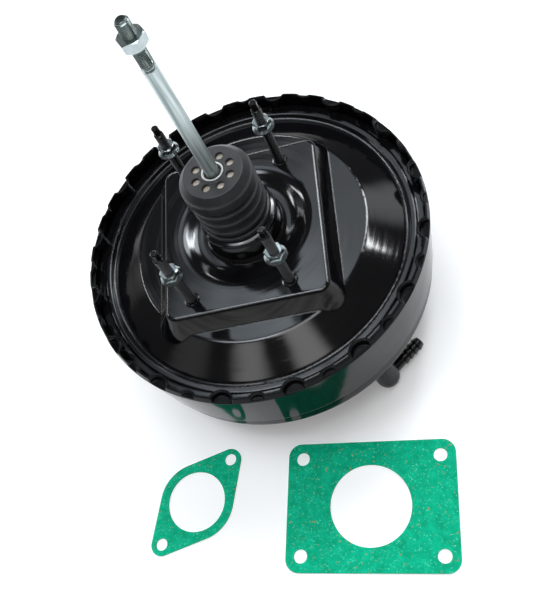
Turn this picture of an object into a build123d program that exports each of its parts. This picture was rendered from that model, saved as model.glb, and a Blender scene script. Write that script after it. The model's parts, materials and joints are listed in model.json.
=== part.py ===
from build123d import *
from math import cos, radians, sin, sqrt, tan
import os

os.makedirs("parts", exist_ok=True)

# Vacuum brake booster, in millimetres. The origin is on the axis in the plane of the firewall face.
# +Z points back to the pedal and the front shell hangs below, as the booster stands on its front.

# Clearances
running = 0.05
fit_gap = 0.3
eps = 0.01

# Pressed sheet
sheet = 2.0
sheet_bend = 4.0

# Firewall face, the raised rectangle of the rear shell
face_x = 131.6
face_y = 144.0
face_shift_x = -2.3
face_shift_y = -2.0
face_rise = 13.6
face_corner = 8.0
face_edge_bend = 3.5
flank_angle = 34.0

# Rear shell outside the firewall face
slope_width = 27.2
disc_bend = 5.0
slope_drop = 13.6
groove_lean = 2.6
groove_width = 2.7
groove_depth = 1.8
ledge_inside = 15.5
ledge_rise = 2.0
ledge_width = 4.0
ledge_step = 1.2
hem_depth = 11.6
hem_width = 6.3

# Dish and neck in the middle of the firewall face
dish_r = 53.5
dish_reach = 4.5
dish_floor_r = 41.5
dish_depth = 5.5
dish_bend = 18.0
neck_r = 31.5
neck_flare = 3.0
neck_foot = 0.6
neck_shoulder = 16.5
neck_top_r = 26.2
neck_top = 22.6

# Firewall studs and their nuts
stud_r = 4.0
stud_shank_r = 3.95
stud_shank_high = 53.4
stud_x = 80.0
stud_y = 115.0
stud_shift_x = -6.0
stud_shift_y = -2.5
stud_length = 74.3
pilot_r = 2.9
pilot_length = 6.0
groove_length = 2.0
stud_head_r = 7.5
stud_head = 4.0
stud_dimple_r = 7.0
stud_dimple = 0.8
rear_plate_t = 2.5
rear_plate_margin = 4.0
nut_flats = 13.0
nut_flange_r = 8.9
nut_flange = 1.8
nut_height = 8.0
nut_tops = (52.0, 52.6, 45.6, 47.4)

# Front shell
lip_lean = 1.8
lip_above_ledge = 11.2
belly_r = 146.0
belly_below_lip = 5.5
belly_bend = 1.2
waist_taper = 4.5
waist_below_lip = 59.0
waist_step = 1.5
foot_below_lip = 82.0
foot_bend = 11.0
foot_draft = 0.6
front_cone = 3.0
front_flat_r = 68.0
crimp_count = 16
crimp_start = 10.4
crimp_axis_out = 3.3
crimp_top_r = 9.3
crimp_foot_r = 8.3
crimp_height = 5.0
nick_axis_out = 6.4
nick_top_r = 8.6
nick_foot_r = 8.0
nick_height = 3.2

# Master cylinder pad on the front shell
pad_r = 40.0
pad_end_r = 14.0
pad_depth = 108.0
pad_bend = 4.0
mc_stud_spacing = 92.0
mc_stud_r = 4.0
mc_neck_r = 4.5
mc_stud_out = 27.0
mc_head_r = 7.5
mc_head = 4.0
front_plate_t = 3.0
recess_r = 25.5
recess_depth = 12.0

# Seals
rear_seal_low = 3.0
rear_seal_high = 13.0
front_seal_t = 4.0
seal_retainer_t = 1.2

# Power piston, at rest against the neck
piston_r = 22.4
piston_top = 66.0
filter_bore_r = 18.6
filter_bore_low = 34.0
poppet_bore_r = 16.4
poppet_bore_low = 14.6
head_bore_r = 10.3
head_bore_low = 4.0
hub_r = 40.0
hub_top = -27.5
hub_t = 16.5
hub_web = 5.0
nose_r = 17.5
nose_length = 12.0
socket_r = 13.6
socket_depth = 14.0

# Reaction disc and output rod
reaction_t = 6.0
out_head_t = 4.8
clip_t = 1.0
out_rod_r = 7.0
out_rod_end = -101.6
screw_r = 5.5
screw_neck_r = 4.5
screw_neck = 1.0
screw_length = 4.4

# Diaphragm, its plate and its retainer
plate_t = 1.5
rubber_t = 2.0
plate_rise_r = 50.0
plate_rise = 5.0
plate_room = 20.5
plate_slope = 29.0
plate_fall = 13.5
plate_rim = 12.0
lobe_gap = 2.0
lobe_low = -56.0
retainer_t = 2.5
retainer_r = 27.0

# Return springs
wire_r = 1.8
coil_r = 33.0
coil_turns = 6
poppet_wire_r = 0.6
poppet_coil_r = 10.6
poppet_turns = 4
rod_wire_r = 0.9
rod_coil_r = 8.6
rod_turns = 6

# Valve plunger, poppet valve and stop key
valve_travel = 1.8
plunger_r = 7.5
plunger_gap = 2.1
plunger_head_r = 9.5
ball_r = 6.0
ball_z = 8.8
ball_mouth_r = 5.3
key_t = 2.4
key_half_width = 7.0
key_reach = 26.0
key_groove_r = 5.2
poppet_t = 2.5
poppet_hole_r = 7.8
bellows_r = 12.6
bellows_t = 1.2
bead_t = 4.0
poppet_cup_t = 3.0
cup_hole_r = 7.6

# Input rod
rod_r = 5.0
rod_round_r = 5.2
rod_shank_r = 4.7
rod_shank_high = 213.6
rod_neck_r = 4.0
rod_collar_r = 10.0
rod_collar_t = 2.0
hex_flats = 10.4
hex_low = 79.0
hex_high = 184.8
rod_tip = 225.0
rod_chamfer = 1.6
jam_flats = 17.0
jam_height = 8.0
jam_top = 212.7

# Dust boot, filter element and boot ring
boot_t = 2.4
boot_top = 73.0
boot_cap_r = 23.2
boot_band_r = 28.8
boot_band_high = 67.5
boot_band_low = 56.0
boot_fold_r = 28.2
boot_root_r = 25.6
boot_folds = 3
boot_lip_r = 28.8
boot_lip = 4.2
boot_lip_gap = 0.3
breather_count = 8
breather_circle_r = 14.4
breather_r = 3.1
boot_hole_r = 9.0
ring_r = 8.6
ring_out = 0.6
ring_rim = 1.3
ring_floor = 1.0
filter_t = 9.4

# Check valve, on a pad pressed in the shoulder of the front shell
valve_azimuth = -50.0
valve_seat_inside = 23.0
valve_tilt = 20.0
valve_pad_r = 17.0
grommet_r = 13.0
grommet_neck_r = 10.0
grommet_hole_r = 8.05
grommet_out = 3.5
grommet_in = 3.0
valve_stem_r = 8.0
valve_flange_r = 15.5
valve_flange = 3.5
valve_body_r = 10.5
valve_length = 30.0
chamber_r = 7.4
chamber_low = 10.0
chamber_high = 23.0
inlet_r = 4.0
disc_valve_r = 6.6
disc_valve_t = 2.2
disc_lift = 2.5
disc_wire_r = 0.4
disc_coil_r = 4.6
disc_turns = 4
nozzle_r = 4.7
nozzle_bore_r = 2.8
nozzle_length = 41.0
barb_r = 5.8
barb_pitch = 5.4
barb_count = 4

# Gaskets, lying on the ground in front of the booster
gasket_t = 1.5
gasket_margin_x = 12.5
gasket_margin_y = 13.0
gasket_corner = 11.0
gasket_bore_r = 33.5
gasket_hole_r = 5.6
mc_gasket_r = 33.5
mc_gasket_end_r = 9.6
mc_gasket_bore_r = 26.0
mc_gasket_hole_r = 5.2
gasket_place = (53.1, -203.6)
gasket_turn = -6.7
mc_gasket_place = (-97.1, -179.8)
mc_gasket_turn = -45.0

# Worked out from the sizes above
lip_r = belly_r - lip_lean
waist_r = belly_r - waist_taper
ledge_r = belly_r - ledge_inside
groove_r = ledge_r - groove_width
slope_r = groove_r - groove_lean
disc_r = slope_r - slope_width
crimp_axis_r = lip_r + crimp_axis_out
nick_axis_r = lip_r + nick_axis_out
plate_r = waist_r - plate_room
plate_shoulder_r = plate_r - plate_slope
valve_seat_r = waist_r - valve_seat_inside
disc_z = -face_rise
slope_z = disc_z - slope_drop
ledge_z = slope_z + ledge_rise
flange_z = ledge_z - ledge_step
hem_z = flange_z - hem_depth
lip_top = ledge_z + lip_above_ledge
belly_z = lip_top - belly_below_lip
waist_z = lip_top - waist_below_lip
front_z = lip_top - foot_below_lip
pad_z = -pad_depth
recess_z = pad_z + recess_depth
hub_low = hub_top - hub_t
nose_z = hub_low - nose_length
socket_top = nose_z + socket_depth
disc_low = socket_top - reaction_t
out_head_low = disc_low - out_head_t
plunger_low = socket_top + plunger_gap
plunger_high = poppet_bore_low
poppet_low = poppet_bore_low + 0.4
cup_high = filter_bore_low - 0.5
cup_low = cup_high - poppet_cup_t
bead_low = cup_low - bead_t
key_high = rear_seal_low - seal_retainer_t - 2 * fit_gap
key_low = key_high - key_t
filter_top = boot_top - boot_t - fit_gap
filter_low = filter_top - filter_t
ground_z = pad_z - mc_stud_out
wall_lean = (belly_r - waist_r) / (belly_z - waist_z)
hem_wall_r = belly_r - wall_lean * (belly_z - hem_z) - sheet - fit_gap
rubber_lift = (plate_t + rubber_t) / 2 + 0.35
wall_grow = 1 / cos(radians(flank_angle))


def outline(*corners):
    """Face inside a closed outline. A corner is a radius, a height and, if round, its bend."""
    points = [corner[:2] for corner in corners]
    bends = [corner[2] if len(corner) > 2 else 0 for corner in corners]
    return make_face(FilletPolyline(*points, radius=bends, close=True))


def strip(thickness, bend, *points):
    """Face of a bent strip of even thickness, from the points of its middle line"""
    path = FilletPolyline(*points, radius=bend)
    return make_face(offset(path, thickness / 2, side=Side.BOTH))


def spun(face):
    """Turns a face of radii and heights about the axis"""
    return revolve(Plane.XZ * face, Axis.Z)


def turned(*corners):
    return spun(outline(*corners))


def rod(radius, low, high):
    return Pos(0, 0, low) * extrude(Circle(radius), high - low)


def tube(outer_r, inner_r, low, high):
    return Pos(0, 0, low) * extrude(Circle(outer_r) - Circle(inner_r), high - low)


def hexagon(flats, low, high):
    return Pos(0, 0, low) * extrude(RegularPolygon(flats / 2, 6, major_radius=False), high - low)


def coil(mean_r, radius, turns, low, high):
    """Wire spring between two heights"""
    height = high - low - 2 * radius
    path = Helix(height / turns, height, mean_r)
    start = Plane(origin=path @ 0, z_dir=path % 0)
    return Pos(0, 0, low + radius) * sweep(start * Circle(radius), path=path)


def hull(circle_r, end_r, spacing):
    """Rhombus of a middle circle and two end circles, with their common tangents, along X"""
    rings = Circle(circle_r).edges()
    for side in (-1, 1):
        rings += (Pos(side * spacing / 2, 0) * Circle(end_r)).edges()
    return make_hull(rings)


def stud_spots():
    """Middles of the four firewall studs, far side first"""
    return [
        (stud_shift_x + side * stud_x / 2, stud_shift_y + row * stud_y / 2)
        for side, row in ((-1, 1), (1, 1), (1, -1), (-1, -1))
    ]


def mc_spots():
    return [(side * mc_stud_spacing / 2, 0) for side in (-1, 1)]


def face_outline(height, inset):
    """Firewall face's outline at a height on its flank, taken in by a wall"""
    grow = -height * tan(radians(flank_angle)) - inset * wall_grow
    section = RectangleRounded(face_x + 2 * grow, face_y + 2 * grow, face_corner + grow)
    return Pos(face_shift_x, face_shift_y, height) * section


def valve_plane():
    """Seat of the check valve: its Z leaves the shell and its X is the nozzle's way"""
    turn = radians(valve_azimuth)
    tilt = radians(valve_tilt)
    seat = (valve_seat_r * cos(turn), valve_seat_r * sin(turn), front_z)
    nozzle_way = (-sin(turn), cos(turn), 0)
    out_way = (sin(tilt) * cos(turn), sin(tilt) * sin(turn), -cos(tilt))
    return Plane(origin=seat, x_dir=nozzle_way, z_dir=out_way)


def rear_form(inset):
    """Everything under the rear shell's pressed surface, lowered and taken in by inset"""
    deep = hem_z - face_rise
    disc = turned(
        (0, deep),
        (0, disc_z - inset),
        (disc_r - inset / 2, disc_z - inset, disc_bend),
        (slope_r, slope_z - inset),
        (slope_r, deep),
    )
    face = loft([face_outline(disc_z - 3 * sheet - inset, inset), face_outline(-inset, inset)])
    top_edges = face.faces().sort_by(Axis.Z)[-1].edges()
    face = fillet(top_edges, face_edge_bend - inset)
    brim = 2 * eps - inset
    dish = turned(
        (0, 2 * sheet),
        (dish_r + dish_reach, 2 * sheet),
        (dish_r + dish_reach, brim),
        (dish_r, brim, dish_bend),
        (dish_floor_r, -dish_depth - inset, dish_bend),
        (0, -dish_depth - inset),
    )
    return disc + face - dish


def rear_shell():
    rim = turned(
        (slope_r, slope_z),
        (groove_r, slope_z - groove_depth, 1.2),
        (ledge_r, ledge_z, 0.8),
        (ledge_r + ledge_width, ledge_z, 0.5),
        (ledge_r + ledge_width + ledge_step, flange_z, 0.5),
        (hem_wall_r, flange_z, 1.5),
        (hem_wall_r, hem_z, 1.5),
        (hem_wall_r - hem_width, hem_z),
        (hem_wall_r - hem_width, hem_z + sheet),
        (hem_wall_r - sheet, hem_z + sheet),
        (hem_wall_r - sheet, flange_z - sheet),
        (ledge_r + ledge_width, flange_z - sheet),
        (ledge_r + ledge_width - ledge_step, ledge_z - sheet),
        (ledge_r + ledge_step, ledge_z - sheet),
        (groove_r, slope_z - groove_depth - sheet),
        (slope_r, slope_z - sheet),
    )
    shell = rear_form(0) - rear_form(sheet) + rim
    shell -= rod(neck_r - sheet, -dish_depth - 2 * sheet, 0)
    for x, y in stud_spots():
        dimple = Pos(x, y, -stud_dimple) * extrude(Circle(stud_r), stud_dimple + eps, taper=-70)
        shell -= dimple & (Pos(x, y, 0) * rod(stud_dimple_r, -sheet, sheet))
        shell -= Pos(x, y, 0) * rod(stud_r, -2 * sheet, sheet)
    return shell


def neck():
    """Tube on the dish's floor, with a narrow end for the dust boot"""
    inner = neck_r - sheet
    return turned(
        (inner, -dish_depth),
        (neck_r + neck_flare, -dish_depth),
        (neck_r + neck_flare, neck_foot - dish_depth),
        (neck_r, neck_flare - dish_depth, 2.5),
        (neck_r, neck_shoulder, 1.5),
        (neck_top_r, neck_shoulder + sheet),
        (neck_top_r, neck_top),
        (neck_top_r - sheet, neck_top),
        (neck_top_r - sheet, neck_shoulder),
        (inner, neck_shoulder - sheet),
    )


def front_form(inset):
    """Everything inside the front shell's outer surface, taken in by inset"""
    top = lip_top + inset
    body = turned(
        (0, top),
        (lip_r - inset, top),
        (belly_r - inset, belly_z, belly_bend),
        (waist_r - inset, waist_z, 1),
        (waist_r - waist_step - inset, waist_z - waist_step, 1),
        (waist_r - waist_step - foot_draft - inset, front_z + inset, foot_bend - inset),
        (front_flat_r, front_z - front_cone + inset),
        (0, front_z - front_cone + inset),
    )
    pad = Pos(0, 0, pad_z + inset) * extrude(
        hull(pad_r - inset, pad_end_r - inset, mc_stud_spacing), pad_depth + front_z - inset
    )
    pad = fillet(pad.faces().sort_by(Axis.Z)[0].outer_wire().edges(), pad_bend - inset)
    valve_pad = rod(valve_pad_r - inset, -valve_pad_r, -inset)
    valve_room = rod(valve_pad_r + inset, -inset, valve_pad_r)
    recess = rod(recess_r + inset, pad_z - eps, recess_z + inset)
    return body + pad + valve_plane() * valve_pad - valve_plane() * valve_room - recess


def pressing(axis_r, foot_r, top_r, height, inset):
    """Arc pushed into the lip's edge from outside, grown by a wall"""
    cone = Cone(foot_r + inset, top_r + inset, height + inset, align=(Align.CENTER, Align.CENTER, Align.MIN))
    return Pos(axis_r, 0, lip_top - height - inset) * cone


def crimp(inset):
    return pressing(crimp_axis_r, crimp_foot_r, crimp_top_r, crimp_height, inset)


def nick(inset):
    return pressing(nick_axis_r, nick_foot_r, nick_top_r, nick_height, inset)


def around(pressed, start):
    """Copies of a pressing round the lip"""
    return [Rot(0, 0, start + index * 360 / crimp_count) * pressed for index in range(crimp_count)]


def front_shell():
    """Shell with its crimps, whose skirts hold the rear shell's flange down"""
    middle_r = belly_r - sheet / 2
    lip_room = turned(
        (crimp_axis_r - 2 * crimp_top_r, flange_z),
        (middle_r - wall_lean * (belly_z - flange_z), flange_z),
        (middle_r, belly_z),
        (lip_r - sheet / 2, lip_top),
        (crimp_axis_r - 2 * crimp_top_r, lip_top),
    )
    skirt = Pos(crimp_axis_r, 0, 0) * tube(
        crimp_foot_r + sheet, crimp_foot_r, flange_z, lip_top - crimp_height
    )
    shell = front_form(0) - front_form(sheet)
    half_pitch = 180 / crimp_count
    shell += around((crimp(sheet) + skirt) & lip_room, crimp_start)
    shell += around(nick(sheet) & lip_room, crimp_start + half_pitch)
    shell -= around(crimp(0), crimp_start) + around(nick(0), crimp_start + half_pitch)
    shell -= rod(out_rod_r + 2 + fit_gap, recess_z - eps, recess_z + 2 * sheet)
    for x, y in mc_spots():
        shell -= Pos(x, y, 0) * rod(mc_neck_r, pad_z - eps, pad_z + 2 * sheet)
    shell -= valve_plane() * rod(grommet_neck_r, -3 * sheet, sheet)
    return shell


def rear_plate():
    reach = -2 * rear_plate_margin
    plate = Pos(face_shift_x, face_shift_y) * RectangleRounded(face_x + reach, face_y + reach, face_corner)
    plate = extrude(plate, rear_plate_t)
    plate -= rod(dish_r + dish_reach, -1, rear_plate_t + 1)
    for x, y in stud_spots():
        plate -= Pos(x, y, 0) * rod(stud_shank_r, -1, rear_plate_t + 1)
    return Pos(0, 0, -sheet - rear_plate_t) * plate


def firewall_stud():
    low = -sheet - rear_plate_t
    groove_low = stud_length - pilot_length - groove_length
    shank = rod(stud_head_r, low - stud_head, low) + rod(stud_shank_r, low, stud_shank_high)
    shank += rod(stud_r, stud_shank_high, groove_low)
    groove = rod(pilot_r + 0.3, groove_low, groove_low + groove_length)
    pilot = rod(pilot_r, groove_low + groove_length, stud_length)
    return shank + groove + chamfer(pilot.faces().sort_by(Axis.Z)[-1].edges(), 0.8)


def flange_nut(top):
    low = top - nut_height
    body = hexagon(nut_flats, low + nut_flange, top)
    corner = nut_flats / sqrt(3)
    body &= turned((0, low), (corner + eps, low), (corner + eps, top - 1), (corner - 1.4, top), (0, top))
    flange = turned(
        (0, low),
        (nut_flange_r, low),
        (nut_flange_r, low + nut_flange / 2),
        (corner - 0.6, low + nut_flange + 0.8),
        (0, low + nut_flange + 0.8),
    )
    bore = rod(stud_r + running, low - 1, top + 1)
    return body + flange - bore


def master_cylinder_stud():
    low = pad_z + sheet + front_plate_t
    shank = rod(mc_stud_r, ground_z, pad_z)
    shank = chamfer(shank.faces().sort_by(Axis.Z)[0].edges(), 0.9)
    return shank + rod(mc_neck_r, pad_z, low) + rod(mc_head_r, low, low + mc_head)


def front_plate():
    low = pad_z + sheet
    plate = extrude(hull(pad_r - sheet - 2, pad_end_r - sheet - 2, mc_stud_spacing), front_plate_t)
    plate -= rod(recess_r + sheet, -1, front_plate_t + 1)
    for x, y in mc_spots():
        plate -= Pos(x, y, 0) * rod(mc_neck_r, -1, front_plate_t + 1)
    return Pos(0, 0, low) * plate


def rear_seal():
    inner = piston_r + running
    return turned(
        (neck_r - sheet, rear_seal_low),
        (neck_r - sheet, rear_seal_high),
        (inner + 3, rear_seal_high),
        (inner + 1.5, rear_seal_low + 6),
        (inner, rear_seal_low + 7),
        (inner, rear_seal_low + 5),
        (inner + 2, rear_seal_low + 3),
        (inner, rear_seal_low + 2),
        (inner, rear_seal_low),
    )


def rear_seal_retainer():
    return tube(neck_r - sheet, piston_r + fit_gap, rear_seal_low - seal_retainer_t, rear_seal_low)


def front_seal():
    high = recess_z
    low = recess_z - front_seal_t
    inner = out_rod_r + running
    return turned(
        (recess_r, low),
        (recess_r, high),
        (inner + 2, high),
        (inner + 2, high + sheet - 0.5),
        (inner, high + sheet - 0.5),
        (inner, high - 1),
        (inner + 1.5, high - 2),
        (inner + 1.5, low + 1),
        (inner, low + 0.5),
        (inner, low),
    )


def front_seal_retainer():
    high = recess_z - front_seal_t
    return tube(recess_r, out_rod_r + 2, high - seal_retainer_t, high)


def power_piston():
    body = turned(
        (filter_bore_r, piston_top),
        (piston_r, piston_top),
        (piston_r, hub_top),
        (hub_r, hub_top),
        (hub_r, hub_low),
        (nose_r + 4, hub_low),
        (nose_r, hub_low - 4, 2),
        (nose_r, nose_z),
        (socket_r, nose_z),
        (socket_r, socket_top),
        (plunger_r + running, socket_top),
        (plunger_r + running, head_bore_low),
        (head_bore_r, head_bore_low),
        (head_bore_r, poppet_bore_low),
        (head_bore_r + 1, poppet_bore_low),
        (head_bore_r + 2, poppet_bore_low - 2),
        (poppet_bore_r, poppet_bore_low - 2),
        (poppet_bore_r, filter_bore_low),
        (filter_bore_r, filter_bore_low),
    )
    slot_back = plunger_r + fit_gap
    slot = Pos((key_reach - slot_back) / 2, 0, (key_low + key_high) / 2)
    slot *= Box(key_reach + slot_back, 2 * key_half_width, key_t)
    relief = tube(hub_r - 4, nose_r + 6, hub_low - eps, hub_top - hub_web)
    return body - slot - relief


def valve_plunger():
    body = turned(
        (0, plunger_low),
        (plunger_r, plunger_low, 0.8),
        (plunger_r, key_low - fit_gap),
        (key_groove_r, key_low - fit_gap),
        (key_groove_r, key_high + valve_travel + fit_gap),
        (plunger_r, key_high + valve_travel + fit_gap),
        (plunger_r, head_bore_low + valve_travel + fit_gap),
        (plunger_head_r, head_bore_low + valve_travel + fit_gap + 2),
        (plunger_head_r, plunger_high),
        (0, plunger_high),
    )
    pocket = Pos(0, 0, ball_z) * Sphere(ball_r + running)
    mouth = rod(ball_mouth_r, ball_z, plunger_high + 1)
    return body - pocket - mouth


def stop_key():
    blade = Pos(0, 0, key_low) * extrude(
        Pos(-plunger_r, -key_half_width + running) * Rectangle(
            key_reach + plunger_r, 2 * (key_half_width - running), align=Align.MIN
        ),
        key_t,
    )
    throat = Pos(-key_reach / 2, 0, key_low) * Box(
        key_reach, 2 * (key_groove_r + fit_gap), 3 * key_t
    )
    eye = rod(key_groove_r + fit_gap, key_low - 1, key_high + 1)
    limit = rod(piston_r, key_low - 1, key_high + 1) + Pos(key_reach / 2, 0, key_low) * Box(
        key_reach, 4 * key_half_width, 3 * key_t
    )
    return (blade & limit) - throat - eye


def poppet_valve():
    rim_r = poppet_bore_r - 1.2
    disc = tube(rim_r, poppet_hole_r, poppet_low, poppet_low + poppet_t)
    bellows = tube(bellows_r + bellows_t, bellows_r, poppet_low + poppet_t, bead_low)
    bead = tube(poppet_bore_r, bellows_r, bead_low, cup_low)
    return disc + bellows + bead


def poppet_retainer():
    lip = tube(poppet_bore_r, poppet_bore_r - 1.2, cup_low, cup_high)
    floor = tube(poppet_bore_r - 1.2, cup_hole_r, cup_low, cup_low + 1.2)
    return lip + floor


def diaphragm_plate():
    inner = piston_r + 0.6
    level = hub_top + plate_t / 2
    top = level + plate_rise
    outer = (plate_r, top - plate_fall)
    middle = [(inner + 1, level), (hub_r, level), (plate_rise_r, top), (plate_shoulder_r, top)]
    return spun(strip(plate_t, 2.5, *middle, outer, (plate_r, outer[1] - plate_rim)))


def diaphragm():
    """Rubber sheet on the plate's rear side, with its rolling lobe and outer bead"""
    inner = piston_r + 1.6
    level = hub_top + plate_t / 2 + rubber_lift
    top = level + plate_rise
    lobe_in = plate_r + rubber_lift
    lobe_out = hem_wall_r - hem_width - lobe_gap
    bead_low_z = hem_z + sheet
    bead_high_z = flange_z - sheet
    web = strip(
        rubber_t,
        3.5,
        (inner, level),
        (hub_r, level),
        (plate_rise_r, top),
        (plate_shoulder_r + 1, top),
        (lobe_in, top - plate_fall),
        (lobe_in, lobe_low),
        (lobe_out, lobe_low),
        (lobe_out, (bead_low_z + bead_high_z) / 2),
        (lobe_out + 4, (bead_low_z + bead_high_z) / 2),
    )
    bead = outline(
        (lobe_out + 3, bead_low_z + fit_gap, 1),
        (hem_wall_r - sheet - fit_gap, bead_low_z + fit_gap, 1),
        (hem_wall_r - sheet - fit_gap, bead_high_z - fit_gap, 1),
        (lobe_out + 3, bead_high_z - fit_gap, 1),
    )
    return spun(web + bead)


def diaphragm_retainer():
    low = hub_top + (plate_t + rubber_t) / 2 + rubber_lift
    return tube(retainer_r + 3, piston_r, low, low + retainer_t)


def output_rod():
    head = rod(socket_r - 0.2, out_head_low, disc_low)
    shaft = rod(out_rod_r, out_rod_end, out_head_low)
    flare = turned(
        (0, out_head_low),
        (out_rod_r + 3, out_head_low),
        (out_rod_r, out_head_low - 5),
        (0, out_head_low - 5),
    )
    return head + shaft + flare


def output_rod_screw():
    low = out_rod_end - screw_length
    neck = rod(screw_neck_r, out_rod_end - screw_neck, out_rod_end)
    nose = turned(
        (0, out_rod_end - screw_neck),
        (screw_r, out_rod_end - screw_neck),
        (screw_r, low + 0.5, 0.4),
        (0, low),
    )
    return neck + nose


def output_rod_retainer():
    inner = out_rod_r + 3.4
    ring = tube(socket_r, inner, out_head_low - clip_t, out_head_low)
    return ring


def input_rod():
    ball = Pos(0, 0, ball_z) * Sphere(ball_r)
    shank = turned(
        (0, ball_z),
        (rod_neck_r, ball_z),
        (rod_neck_r, plunger_high + 1),
        (rod_round_r, plunger_high + 3),
        (rod_round_r, filter_low - rod_collar_t - 1),
        (rod_collar_r, filter_low - rod_collar_t - 1),
        (rod_collar_r, filter_low - 1),
        (rod_round_r, filter_low - 1),
        (rod_round_r, hex_low),
        (0, hex_low),
    )
    bar = hexagon(hex_flats, hex_low, hex_high)
    corner = hex_flats / sqrt(3)
    bar &= turned(
        (0, hex_low),
        (rod_round_r, hex_low),
        (corner, hex_low + 3),
        (corner, hex_high - 1.5),
        (rod_r, hex_high),
        (0, hex_high),
    )
    thread = rod(rod_r, rod_shank_high, rod_tip)
    thread = chamfer(thread.faces().sort_by(Axis.Z)[-1].edges(), rod_chamfer)
    thread += rod(rod_shank_r, hex_high, rod_shank_high)
    return ball + shank + bar + thread


def jam_nut():
    corner = jam_flats / sqrt(3)
    low = jam_top - jam_height
    body = hexagon(jam_flats, low, jam_top)
    body &= turned(
        (0, low), (corner - 1.4, low), (corner, low + 0.9), (corner, jam_top - 0.9), (corner - 1.4, jam_top), (0, jam_top)
    )
    return body - rod(rod_shank_r, low - 1, jam_top + 1)


def dust_boot():
    """Bellows from the neck to its cap, with the breather holes in the cap"""
    lip_low = neck_shoulder + sheet + boot_lip_gap
    lip_high = lip_low + boot_lip
    fold_space = (boot_band_low - lip_high) / boot_folds
    outside = [(boot_lip_r, lip_low, 0.8), (boot_lip_r, lip_high, 0.8)]
    inside = [(neck_top_r + boot_lip_gap, lip_low), (neck_top_r + boot_lip_gap, lip_high)]
    for index in range(boot_folds):
        low = lip_high + index * fold_space
        fold = [
            (boot_root_r, low + 0.12 * fold_space, 0.8),
            (boot_fold_r, low + 0.34 * fold_space, 2.2),
            (boot_fold_r, low + 0.78 * fold_space, 2.2),
        ]
        outside += fold
        inside += [(radius - boot_t, height, bend) for radius, height, bend in fold]
    outside += [
        (boot_root_r, boot_band_low, 0.8),
        (boot_band_r, boot_band_low + 1.5, 1),
        (boot_band_r, boot_band_high, 5),
        (boot_cap_r, boot_top, 0.8),
        (boot_hole_r, boot_top),
    ]
    inside += [
        (boot_root_r - boot_t, boot_band_low, 0.8),
        (boot_band_r - boot_t, boot_band_low + 1.5, 1),
        (boot_band_r - boot_t, boot_band_high - 1, 3),
        (boot_cap_r - 0.5, boot_top - boot_t),
        (boot_hole_r, boot_top - boot_t),
    ]
    boot = turned(*outside, *reversed(inside))
    for index in range(breather_count):
        turn = Rot(0, 0, (index + 0.5) * 360 / breather_count)
        boot -= turn * (Pos(breather_circle_r, 0, 0) * rod(breather_r, boot_top - 2 * boot_t, boot_top + 1))
    return boot


def boot_ring():
    """Ring round the rod, with a rim that stands up at the edge of the boot's hole"""
    high = boot_top + ring_out
    low = filter_top + 2 * running
    return tube(ring_r, rod_round_r, low, low + ring_floor) + tube(ring_r, ring_r - ring_rim, low, high)


def filter_element():
    inner = rod_round_r + fit_gap
    plug = tube(filter_bore_r - running, inner, filter_low, piston_top)
    return plug + tube(boot_cap_r - 1.2, inner, piston_top, filter_top)


def grommet():
    return turned(
        (grommet_hole_r, -sheet - grommet_in),
        (grommet_r - 1.5, -sheet - grommet_in, 1),
        (grommet_r - 1.5, -sheet),
        (grommet_neck_r, -sheet),
        (grommet_neck_r, 0),
        (grommet_r, 0),
        (grommet_r, grommet_out, 1),
        (grommet_hole_r, grommet_out),
    )


def check_valve_body():
    flange_low = grommet_out + fit_gap
    body = turned(
        (0, -sheet - grommet_in - 3),
        (valve_stem_r, -sheet - grommet_in - 3, 0.8),
        (valve_stem_r, flange_low),
        (valve_flange_r, flange_low, 0.8),
        (valve_flange_r, flange_low + valve_flange, 0.8),
        (valve_body_r, flange_low + valve_flange, 1),
        (valve_body_r, valve_length),
        (0, valve_length),
    )
    dome = Pos(0, 0, valve_length) * Sphere(valve_body_r)
    barbs = [(0, 0), (nozzle_r, 0)]
    first = nozzle_length - barb_count * barb_pitch
    for index in range(barb_count):
        start = first + index * barb_pitch
        barbs += [(nozzle_r, start), (barb_r, start), (barb_r, start + 0.8)]
    barbs += [(nozzle_r - 0.3, nozzle_length), (0, nozzle_length)]
    nozzle = Pos(0, 0, valve_length) * (Rot(0, 90, 0) * turned(*barbs))
    bore = Pos(0, 0, valve_length) * (Rot(0, 90, 0) * rod(nozzle_bore_r, 0, nozzle_length + 1))
    chamber = rod(chamber_r, chamber_low, chamber_high)
    inlet = rod(inlet_r, -sheet - grommet_in - 4, chamber_low)
    outlet = rod(nozzle_bore_r, chamber_high, valve_length + nozzle_bore_r)
    return body + dome + nozzle - bore - chamber - inlet - outlet


def check_valve_disc():
    low = chamber_low + 0.1
    return rod(disc_valve_r, low, low + disc_valve_t)


def firewall_gasket():
    plate = RectangleRounded(stud_x + 2 * gasket_margin_y, stud_y + 2 * gasket_margin_x, gasket_corner)
    plate -= Circle(gasket_bore_r)
    for side in (-1, 1):
        for row in (-1, 1):
            plate -= Pos(side * stud_x / 2, row * stud_y / 2) * Circle(gasket_hole_r)
    laid = Rot(0, 0, gasket_turn + 90) * extrude(plate, gasket_t)
    return Pos(*gasket_place, ground_z) * laid


def master_cylinder_gasket():
    plate = hull(mc_gasket_r, mc_gasket_end_r, mc_stud_spacing) - Circle(mc_gasket_bore_r)
    for x, y in mc_spots():
        plate -= Pos(x, y) * Circle(mc_gasket_hole_r)
    laid = Rot(0, 0, mc_gasket_turn + 90) * extrude(plate, gasket_t)
    return Pos(*mc_gasket_place, ground_z) * laid


def at_spots(make, spots):
    return Compound([Pos(x, y, 0) * solid for (x, y), solid in zip(spots, make)])


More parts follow.
